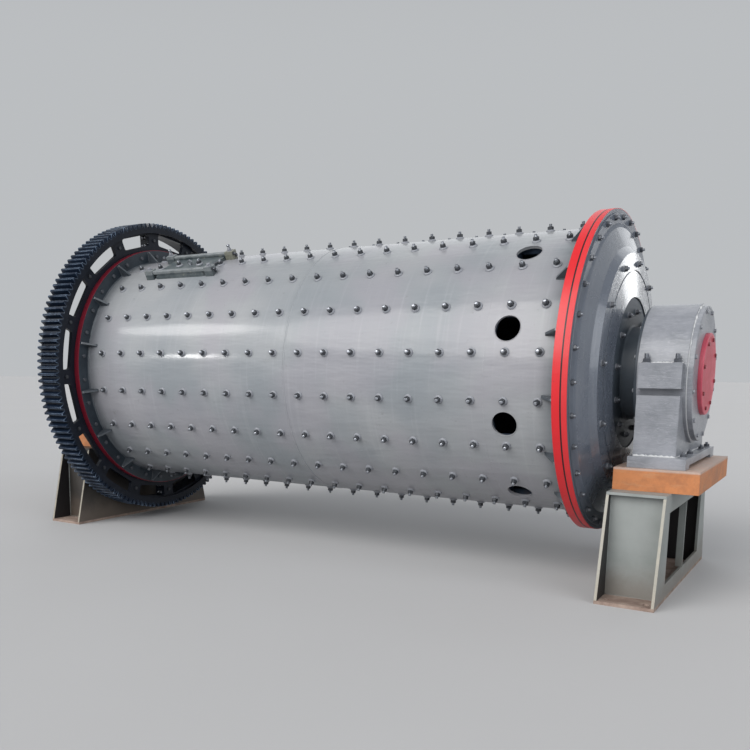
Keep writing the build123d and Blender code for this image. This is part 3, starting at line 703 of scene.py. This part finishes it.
def small_finish(name, dark, light, metallic, rough, grain):
    """Small hardware: a mottled finish between two colours."""
    s = Shader(name, 0.0012, Metallic=metallic)
    s.colour(s.mix(s.noise(grain, 4.0, 0.6), dark, light))
    s.roughness(s.noise(grain * 1.7, 4.0, 0.6), rough - 0.10, rough + 0.12)
    s.bump(s.noise(grain * 9.0, 3.0, 0.6), 0.15, 0.0008)
    return s.material


def stand_paints():
    """Paint of each painted stand node; the feed stand is browner than the other, and much darker
    as painted shade.
    """
    # Painted shade: the feed stand's dark tones stand in for the shadow it sits in.
    tones = {"feed": ((0.021, 0.018, 0.016), (0.042, 0.037, 0.033)),
             "discharge": ((0.185, 0.205, 0.195), (0.250, 0.268, 0.262))}
    return {f"{end}_stand_{word}": stand_paint(end, word, *tone)
            for end, tone in tones.items()
            for word in ("top", "ends", "inner_side", "outer_side")}


def node_paints():
    """Which paint each node gets."""
    shell, manhole, gear, lining = shell_paint(), manhole_paint(), gear_paint(), lining_steel()
    head, trunnion, housing, base = head_paint(), trunnion_paint(), housing_paint(), base_paint()
    crimson = flange_paint("feed_flange_paint", *CRIMSON)
    bright = flange_paint("discharge_flange_paint", *RED)
    by_word = {
        "shell_course": shell, "port_plates": shell, "manhole": manhole, "gussets": gusset_paint(),
        "feed_shell_flange": crimson, "discharge_shell_flange": bright,
        "head": head, "trunnion": trunnion, "inner_cover": trunnion, "girth_gear": gear,
        "lining": lining, "bearing_housing": housing, "bearing_cap": housing,
        "outer_cover": housing, "end_cap": cap_paint(), "bedplate": primer(), "stand_base": base,
        **stand_paints(),
    }
    return {name: next(paint for word, paint in by_word.items() if word in name)
            for name in frame["nodes"]}


def dress(materials):
    """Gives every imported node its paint."""
    for name, node in frame["nodes"].items():
        for slot in node.material_slots:
            slot.material = materials[name]


# Templates of the small pieces: lists of points and faces with the base at height 0

def circle(count, radius=1.0):
    """Evenly spaced (x, y) points round a circle."""
    angles = [2 * math.pi * k / count for k in range(count)]
    return [(radius * math.cos(a), radius * math.sin(a)) for a in angles]


def ring_faces(rings, sides, closed=False):
    """Quads between rings of points; closed joins the last ring to the first."""
    faces = []
    for ring in range(rings if closed else rings - 1):
        here, there = ring * sides, (ring + 1) % rings * sides
        for k in range(sides):
            after = (k + 1) % sides
            faces.append((here + k, here + after, there + after, there + k))
    return faces


def capped_faces(rings, sides):
    """Quads between rings of points, with a face over each end."""
    last = (rings - 1) * sides
    ends = [tuple(reversed(range(sides))), tuple(range(last, last + sides))]
    return ring_faces(rings, sides) + ends


def turned(profile, segments):
    """A closed form turned from (radius, height) points, from the bottom up."""
    points = [Vector((x, y, height)) for radius, height in profile
              for x, y in circle(segments, radius)]
    return points, capped_faces(len(profile), segments)


def hexagon(across, height, base=0.0):
    """A hexagon nut or bolt head with its corners turned off at the top."""
    corner, flat, crown = across / math.sqrt(3), across / 2, 0.475 * across
    shoulder, lift = height - 0.13 * across, 0.10 * across
    # Radius and height of each level, at the corners and at the middles of the flats
    levels = [((corner, 0.0), (flat, 0.0)), ((corner, shoulder), (flat, shoulder + lift)),
              ((crown, height), (crown, height))]
    points = []
    for level in levels:
        for k, (x, y) in enumerate(circle(12)):
            radius, z = level[k % 2]
            points.append(Vector((radius * x, radius * y, base + z)))
    return points, capped_faces(len(levels), 12)


def stud(radius, height, base=0.0):
    """The threaded end of a bolt: ridges and a turned-off tip."""
    profile, z = [], 0.0
    while z < height - THREAD_PITCH:
        profile.append((radius, base + z))
        profile.append((radius - THREAD_DEPTH, base + z + THREAD_PITCH / 2))
        z += THREAD_PITCH
    profile.append((radius - THREAD_DEPTH * 0.3, base + z))
    profile.append((radius - THREAD_DEPTH * 1.6, base + height))
    return turned(profile, STUD_SEGMENTS)


def cup_washer(radius, height):
    """A pressed cup washer that seals the bolt hole."""
    shares = [(1.0, 0.35), (0.93, 0.62), (0.80, 0.86), (0.62, 1.0), (0.40, 0.96)]
    rounded = [(radius * outwards, height * upwards) for outwards, upwards in shares]
    return turned([(radius, -0.003), *rounded], 20)


def flat_washer(radius, height):
    """A plain washer with a broken edge."""
    return turned([(radius, -0.002), (radius, height * 0.8), (radius - height * 0.2, height)], 20)


def hoop(radius, wire, segments, sides, put):
    """A ring of round wire; put turns (x, y, off the ring's plane) into a point."""
    points = [put((radius + wire * out) * x, (radius + wire * out) * y, wire * off)
              for x, y in circle(segments) for out, off in circle(sides)]
    return points, ring_faces(segments, sides, closed=True)


def lifting_eye(radius, wire):
    """An upright ring on a short neck."""
    eye = hoop(radius, wire, 24, 8, lambda x, y, off: Vector((x, off, radius + wire + y)))
    return joined(eye, turned([(wire * 2.4, -0.002), (wire * 2.4, 0.006), (wire, 0.010)], 16))


def shell_ring(radius, wire):
    """A thin bead round a hole in the shell, following the shell's curve."""
    def put(x, y, off):
        return Vector((x, y, math.sqrt(SHELL_RADIUS ** 2 - y ** 2) - SHELL_RADIUS + off))
    return hoop(radius, wire, 48, 6, put)


def joined(*templates):
    """Several templates as one."""
    points, faces = [], []
    for more_points, more_faces in templates:
        start = len(points)
        points.extend(more_points)
        faces.extend(tuple(start + i for i in face) for face in more_faces)
    return points, faces


def bead(path, radius, rough, dice):
    """A lumpy weld or sealant bead along a run of points, closed at both ends."""
    points = []
    turn = (path[-1] - path[0]).to_track_quat("Z", "Y").to_matrix()
    for k, point in enumerate(path):
        swell = radius * dice.uniform(1 - rough, 1 + rough)
        if k in (0, len(path) - 1):
            swell *= BEAD_END
        points += [point + turn @ Vector((x, y, 0)) for x, y in circle(BEAD_SIDES, swell)]
    return points, capped_faces(len(path), BEAD_SIDES)


def straight_bead(start, end, kind, dice):
    """A bead from one point to another; kind is one of the straight beads above."""
    radius, spacing, rough = kind
    count = max(2, round((end - start).length / spacing))
    return bead([start.lerp(end, k / count) for k in range(count + 1)], radius, rough, dice)


def drum_band(x, radius, section, side, dice, rough=0.12):
    """A rippled ring round the drum with a closed section, mirrored where side is -1."""
    points = []
    for k in range(BAND_SEGMENTS):
        swell = dice.uniform(1 - rough, 1 + rough)
        for along, out in section:
            place = x + side * along
            points.append(drum_point(place, 360 * k / BAND_SEGMENTS, radius + out * swell))
    return points, ring_faces(BAND_SEGMENTS, len(section), closed=True)


def face_outwards(mesh):
    """Turns every face of a closed mesh to look out of it."""
    shape = bmesh.new()
    shape.from_mesh(mesh)
    bmesh.ops.recalc_face_normals(shape, faces=shape.faces)
    shape.to_mesh(mesh)
    shape.free()


def new_object(name, data):
    """An object in the scene, made from a mesh, a light or a camera."""
    made = bpy.data.objects.new(name, data)
    bpy.context.scene.collection.objects.link(made)
    return made


def make_piece(name, template, material, body, slot, sharp=HARDWARE_SHARP):
    """A mesh object that rides on a body, smooth except at its sharp edges."""
    points, faces = template
    mesh = bpy.data.meshes.new(name)
    mesh.from_pydata([tuple(p) for p in points], [], faces)
    mesh.validate()
    face_outwards(mesh)
    mesh.shade_smooth()
    mesh.set_sharp_from_angle(angle=math.radians(sharp))
    mesh.materials.append(material)
    piece = new_object(name, mesh)
    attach(piece, body)


def stamp(name, template, places, material, body, slot):
    """The same template at many places, as one mesh."""
    copies = [([place @ p for p in template[0]], template[1]) for place in places]
    make_piece(name, joined(*copies), material, body, slot)


# Places

def outward(angle):
    """Unit vector away from the mill axis."""
    a = math.radians(angle)
    return Vector((0, -math.cos(a), math.sin(a)))


def onward(angle):
    """Unit vector round the drum, towards growing angles."""
    return outward(angle).cross(AXIS_X)


def drum_point(x, angle, radius):
    """A point given along, round and away from the mill axis."""
    return Vector((x, 0, AXIS_Z)) + radius * outward(angle)


def spun(angle):
    """A turn about local Z, in degrees."""
    return Matrix.Rotation(math.radians(angle), 4, "Z")


def any_turn(dice):
    """The turn that a nut happened to be tightened to."""
    return dice.uniform(0, 60)


def bolt_place(point, up, dice):
    """Place of a bolt whose local Z is up."""
    rotation = up.to_track_quat("Z", "Y").to_matrix().to_4x4()
    return Matrix.Translation(point) @ rotation @ spun(any_turn(dice))


def on_shell(x, angle, turn=0.0, radius=SHELL_RADIUS):
    """Place on the drum with local X along the mill and local Z outwards."""
    rotation = Matrix((AXIS_X, onward(angle), outward(angle))).transposed().to_4x4()
    return Matrix.Translation(drum_point(x, angle, radius)) @ rotation @ spun(turn)


def on_manhole(along, across, radius):
    """Place over the manhole, off its middle along the mill and round the drum."""
    middle = on_shell(MANHOLE_X, MANHOLE_ANGLE, 0.0, radius)
    return middle @ Matrix.Translation((along, across, 0))


def bolt_ring(ring, x, direction, dice, lean=0.0):
    """Places round a face that looks along the mill; lean tips them outwards, in degrees."""
    along = direction * math.cos(math.radians(lean))
    away = math.sin(math.radians(lean))
    places = []
    for k in range(ring.bolts):
        angle = ring.start + 360 / ring.bolts * k
        up = along * AXIS_X + away * outward(angle)
        places.append(bolt_place(drum_point(x, angle, ring.radius), up, dice))
    return places


def liner_bolt_places(dice):
    """Every liner bolt; two of them come up through the manhole's cover."""
    places = []
    for row, column in product(range(ROW_COUNT), range(COLUMN_COUNT)):
        x, angle = COLUMN_START + COLUMN_STEP * column, ROW_START + ROW_STEP * row
        through_cover = row == MANHOLE_ROW and column in MANHOLE_COLUMNS
        radius = COVER_TOP if through_cover else SHELL_RADIUS
        places.append(on_shell(x, angle, any_turn(dice), radius))
    return places


# Hardware

def stamp_parts(name, parts, places, finish, body, slot):
    """Each part, as (word, template, finish), at all the places."""
    for word, template, coat in parts:
        stamp(f"{name}_{word}", template, places, finish[coat], body, slot)


def fasten(name, places, finish, body):
    """Nuts or heads at some places, with their washers and the studs that stand out of them."""
    bolt = BOLTS[name]
    low = FLAT_WASHER_HEIGHT if bolt.washer else 0.0
    parts = [("nuts", hexagon(bolt.across, bolt.height, low), bolt.nut)]
    if bolt.washer:
        parts.insert(0, ("washers", flat_washer(bolt.washer, low), "washer"))
    if bolt.reach:
        end = stud(bolt.shank, bolt.reach, low + bolt.height - STUD_SINK)
        parts.append(("studs", end, "stud"))
    stamp_parts(name, parts, places, finish, body, bolt.slot)


def liner_bolts(finish):
    """Cup washers, nuts and stud ends of the bolts that hold the lining."""
    places = liner_bolt_places(random.Random(SEEDS["liner_bolts"]))
    bolt = BOLTS["liner"]
    nut = hexagon(bolt.across, bolt.height, CUP_WASHER_HEIGHT - NUT_SINK)
    end = stud(bolt.shank, bolt.reach, CUP_WASHER_HEIGHT + bolt.height - STUD_SINK)
    parts = [("washers", cup_washer(bolt.washer, CUP_WASHER_HEIGHT), "washer"),
             ("nuts", nut, bolt.nut), ("studs", end, "stud")]
    stamp_parts("liner", parts, places, finish, "drum", bolt.slot)


def drum_end_bolts(finish):
    """Bolts of the shell flanges, heads and trunnions at both ends."""
    dice = random.Random(SEEDS["drum_end_bolts"])
    rims, inners, pads, hubs = [], [], [], []
    lean = math.degrees(math.atan(HEAD_PAD_SLOPE))
    pad_drop = (HEAD_PAD_RING.radius - HEAD_SEAT_RADIUS) * HEAD_PAD_SLOPE
    for side, gusset_phase in GUSSET_PHASES:
        joint = SHELL_END if side > 0 else SHELL_END + GEAR_WEB
        ring = Ring(FLANGE_BOLTS, gusset_phase + 180 / FLANGE_BOLTS, FLANGE_BOLT_RADIUS)
        rims += bolt_ring(ring, side * (joint + HEAD_RIM_FACE), side, dice)
        inners += bolt_ring(ring, side * FLANGE_INNER, -side, dice)
        pad_x = joint + HEAD_SEAT_X - SHELL_END - pad_drop
        pads += bolt_ring(HEAD_PAD_RING, side * pad_x, side, dice, lean)
        hub_x = joint + TRUNNION_BACK - SHELL_END + TRUNNION_FLANGE
        hubs += bolt_ring(TRUNNION_RING, side * hub_x, side, dice)
    for name, places in (("flange", rims), ("flange_inner", inners), ("head_pad", pads),
                         ("trunnion", hubs)):
        fasten(name, places, finish, "drum")


def gear_bolts(finish):
    """Bolts through the gear's spokes and through the joint lugs of its two halves."""
    dice = random.Random(SEEDS["gear_bolts"])
    spokes = bolt_ring(SPOKE_RING, -SHELL_END, 1, dice)
    spokes += bolt_ring(SPOKE_RING, -SHELL_END - GEAR_WEB, -1, dice)
    fasten("gear_spoke", spokes, finish, "drum")
    lugs = []
    for angle, depth, radius, way in product((GEAR_SPLIT, GEAR_SPLIT + 180), GEAR_LUG_DEPTHS,
                                             GEAR_LUG_RADII, (-1, 1)):
        middle = drum_point(-SHELL_END - depth, angle, radius)
        up = way * onward(angle)
        lugs.append(bolt_place(middle + GEAR_LUG_HALF * up, up, dice))
    fasten("gear_joint", lugs, finish, "drum")


def manhole_bolts(finish):
    """Nuts and studs of the clamp blocks, the lifting eye and the locking rod."""
    tops = [on_manhole(side * BLOCK_X, across, BLOCK_TOP)
            for side in (-1, 1) for across in (-BLOCK_ACROSS, BLOCK_ACROSS)]
    fasten("manhole_block", tops, finish, "drum")
    rear = tops[1::2]
    long_stud = joined(stud(*LONG_STUD), hexagon(*LONG_STUD_NUT))
    stamp("manhole_block_studs", long_stud, rear, finish["stud"], "drum", "shell_paint")
    sideways = Matrix.Rotation(math.radians(90), 4, "Y")
    ends = [on_manhole(BLOCK_X + BLOCK_HALF_LENGTH, way * BLOCK_ACROSS + shift, BLOCK_TOP - drop)
            @ sideways for way in (-1, 1) for shift, drop in END_BOLT_PAIR]
    fasten("manhole_end", ends, finish, "drum")
    stamp("manhole_eye", lifting_eye(EYE_RADIUS, EYE_WIRE), [on_manhole(0.0, 0.0, COVER_TOP)],
          finish["stud"], "drum", "shell_paint")
    across = Matrix.Rotation(math.radians(-90), 4, "X")
    block_side = -BLOCK_ACROSS + BLOCK_HALF_WIDTH - ROD_SINK
    rod = on_manhole(BLOCK_X, block_side, BLOCK_TOP - ROD_DROP) @ across
    stamp("manhole_rod", stud(ROD_RADIUS, ROD_LENGTH), [rod], finish["nut"], "drum",
          "shell_paint")


def bearing_bolts(finish):
    """Cap bolts on the lugs, holding-down bolts, cover bolts and end cap bolts."""
    dice = random.Random(SEEDS["bearing_bolts"])
    lugs, feet, covers, caps = [], [], [], []
    for side in (-1, 1):
        middle = side * BARREL_MIDDLE
        for front in (-1, 1):
            lug_y = front * (LUG_FRONT - LUG_BOLT_INSET)
            for offset in LUG_BOLT_OFFSETS:
                lug = Vector((middle + side * offset, lug_y, LUG_TOP_Z))
                lugs.append(bolt_place(lug, UP, dice))
            for reach in FOOT_BOLT_REACHES:
                foot = Vector((middle + side * FOOT_BOLT_OFFSET, front * reach, BASE_LEDGE_Z))
                feet.append(bolt_place(foot, UP, dice))
        covers += bolt_ring(COVER_RING, side * COVER_FACE, side, dice)
        covers += bolt_ring(COVER_RING, side * INNER_COVER_FACE, -side, dice)
        caps += bolt_ring(END_CAP_RING, side * CAP_FACE, side, dice)
    for name, places in (("bearing_lug", lugs), ("bearing_foot", feet), ("bearing_cover", covers),
                         ("end_cap", caps)):
        fasten(name, places, finish, "supports")


# Welds and sealant

def drum_welds(shell, slate):
    """The seam between the two courses and the fillets at the flanges, gussets and ports."""
    dice = random.Random(SEEDS["drum_welds"])
    seam = drum_band(SEAM_X, SHELL_RADIUS, SEAM_SECTION, 1, dice)
    make_piece("course_seam", seam, shell, "drum", "shell_paint", WELD_SHARP)
    parts = [drum_band(side * FLANGE_INNER, SHELL_RADIUS, FILLET_SECTION, side, dice)
             for side in (-1, 1)]
    for side, phase in GUSSET_PHASES:
        for k in range(GUSSET_COUNT):
            angle = phase + 360 / GUSSET_COUNT * k
            for way in (-1, 1):
                offset = way * onward(angle) * (GUSSET_HALF + BEAD_LIFT)
                parts += gusset_beads(side, angle, offset, dice)
    # Painted shade: the flange and gusset fillets take the gussets' dark slate.
    make_piece("flange_welds", joined(*parts), slate, "drum", "shell_paint", WELD_SHARP)
    ports = [on_shell(PORT_X, PORT_START + 360 / PORT_COUNT * k) for k in range(PORT_COUNT)]
    rim = shell_ring(PORT_BEAD_RADIUS, PORT_BEAD_WIRE)
    stamp("port_rims", rim, ports, shell, "drum", "shell_paint")


def gusset_beads(side, angle, offset, dice):
    """Beads along one side of a gusset: on the shell and up the flange."""
    face = side * (FLANGE_INNER - BEAD_LIFT)
    corner = drum_point(face, angle, SHELL_RADIUS + BEAD_LIFT) + offset
    tip = drum_point(face - side * GUSSET_LENGTH, angle, SHELL_RADIUS + BEAD_LIFT) + offset
    top = drum_point(face, angle, SHELL_RADIUS + GUSSET_HEIGHT) + offset
    return [straight_bead(corner, end, GUSSET_BEAD, dice) for end in (tip, top)]


def stand_welds(material):
    """Beads where the end plates meet the side, base and top plates."""
    dice = random.Random(SEEDS["stand_welds"])
    parts = []
    near, far = STAND_NEAR + STAND_PLATE, STAND_FAR - STAND_PLATE
    low, high = STAND_BASE_TOP, STAND_TOP - STAND_PLATE
    for side, front in product((-1, 1), (-1, 1)):
        y = front * (STAND_END_Y + BEAD_LIFT)
        corners = [Vector((side * x, y, z)) for x, z in
                   ((near, low), (far, low), (far, high), (near, high))]
        for start, end in zip(corners, corners[1:] + corners[:1]):
            parts.append(straight_bead(start, end, STAND_BEAD, dice))
    make_piece("stand_welds", joined(*parts), material, "supports", "stand_paint", WELD_SHARP)


def sealant(material):
    """Pale sealant squeezed out at the foot of each bearing, round its covers and by its lugs."""
    dice = random.Random(SEEDS["sealant"])
    parts = []
    for side in (-1, 1):
        near = side * (BARREL_MIDDLE - HOUSING_HALF_WIDTH)
        far = side * (BARREL_MIDDLE + HOUSING_HALF_WIDTH)
        for front in (-1, 1):
            for y, z, kind in ((LUG_FRONT + SEALANT_LIFT, BASE_LEDGE_Z + BEAD_LIFT, LEDGE_BEAD),
                               (LUG_FRONT - LUG_BEAD_INSET, LUG_TOP_Z, LUG_BEAD)):
                start, end = (Vector((x, front * y, z)) for x in (near, far))
                parts.append(straight_bead(start, end, kind, dice))
        start, end = (Vector((far + side * SEALANT_LIFT, front * LUG_FRONT, BASE_LEDGE_Z))
                      for front in (-1, 1))
        parts.append(straight_bead(start, end, FOOT_BEAD, dice))
        parts.append(drum_band(side * BARREL_FAR, COVER_RADIUS, SEALANT_SECTION, side, dice,
                               SEALANT_ROUGH))
        parts += rim_patches(side, dice)
    make_piece("bearing_sealant", joined(*parts), material, "supports", "housing_paint",
               SEALANT_SHARP)


def rim_patches(side, dice):
    """Short thick smears of sealant over the upper front of an outer cover's joint."""
    x, radius = side * (BARREL_FAR + BEAD_LIFT), COVER_RADIUS + BEAD_LIFT
    parts = []
    for k in range(PATCH_COUNT):
        start = PATCH_START + PATCH_STEP * k + dice.uniform(0, 2)
        length = dice.uniform(*PATCH_LENGTHS)
        path = [drum_point(x, start + length * j / 6, radius) for j in range(7)]
        parts.append(bead(path, dice.uniform(*PATCH_RADII), PATCH_ROUGH, dice))
    return parts


# Camera, light and floor

def make_camera():
    """The photograph's camera, fitted to its liner bolts."""
    data = bpy.data.cameras.new("camera")
    data.lens = CAMERA_LENS
    data.sensor_width = CAMERA_SENSOR
    data.shift_x, data.shift_y = CAMERA_SHIFT
    camera = new_object("camera", data)
    right = CAMERA_FORWARD.cross(CAMERA_UP).normalized()
    rotation = Matrix((right, CAMERA_UP, -CAMERA_FORWARD)).transposed().to_4x4()
    camera.matrix_world = Matrix.Translation(CAMERA_PLACE) @ rotation
    bpy.context.scene.camera = camera


def soft_light(name, source, strength, spread, colour):
    """A broad light from one direction, the same over the whole floor."""
    data = bpy.data.lights.new(name, "SUN")
    data.energy = strength
    data.angle = math.radians(spread)
    data.color = colour
    light = new_object(name, data)
    light.matrix_world = Vector(source).to_track_quat("Z", "Y").to_matrix().to_4x4()


def make_world():
    """A pale studio that is brightest near the horizon and softer overhead."""
    world = bpy.data.worlds.new("studio")
    world.use_nodes = True
    tree = world.node_tree
    direction = tree.nodes.new("ShaderNodeTexCoord")
    split = tree.nodes.new("ShaderNodeSeparateXYZ")
    ramp = tree.nodes.new("ShaderNodeMapRange")
    ramp.interpolation_type = "SMOOTHSTEP"
    preset(ramp, From_Min=HORIZON_END, From_Max=OVERHEAD_START, To_Min=HORIZON_STRENGTH,
           To_Max=OVERHEAD_STRENGTH)
    background = tree.nodes["Background"]
    preset(background, Color=WORLD_COLOUR)
    tree.links.new(direction.outputs["Generated"], split.inputs[0])
    tree.links.new(split.outputs["Z"], ramp.inputs["Value"])
    tree.links.new(ramp.outputs["Result"], background.inputs["Strength"])
    bpy.context.scene.world = world


def make_lights():
    """The world and the soft lights, shown with plain display colours."""
    bpy.context.scene.view_settings.view_transform = "Standard"
    make_world()
    for name, light in LIGHTS.items():
        soft_light(name, *light)


def make_floor():
    """A plain pale floor that reaches to the horizon."""
    s = Shader("floor_paint")
    s.colour(s.mix(s.noise(0.5, 3.0, 0.5), (0.425, 0.425, 0.43), (0.445, 0.445, 0.45)))
    s.roughness(s.noise(2.0, 3.0, 0.5), 0.80, 0.92)
    mesh = bpy.data.meshes.new("floor")
    points = [(x, y, 0.0) for x, y in circle(FLOOR_SIDES, FLOOR_REACH)]
    mesh.from_pydata(points, [], [tuple(range(FLOOR_SIDES))])
    mesh.materials.append(s.material)
    floor = new_object("floor", mesh)


def main():
    """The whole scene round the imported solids."""
    make_camera()
    paints = node_paints()
    dress(paints)
    finish = {coat: small_finish(*settings) for coat, settings in FINISHES.items()}
    for make_bolts in (liner_bolts, drum_end_bolts, gear_bolts, manhole_bolts, bearing_bolts):
        make_bolts(finish)
    drum_welds(paints["feed_shell_course"], paints["feed_flange_gussets"])
    stand_welds(paints["discharge_stand_ends"])
    sealant(finish["sealant"])
    make_lights()
    make_floor()


main()
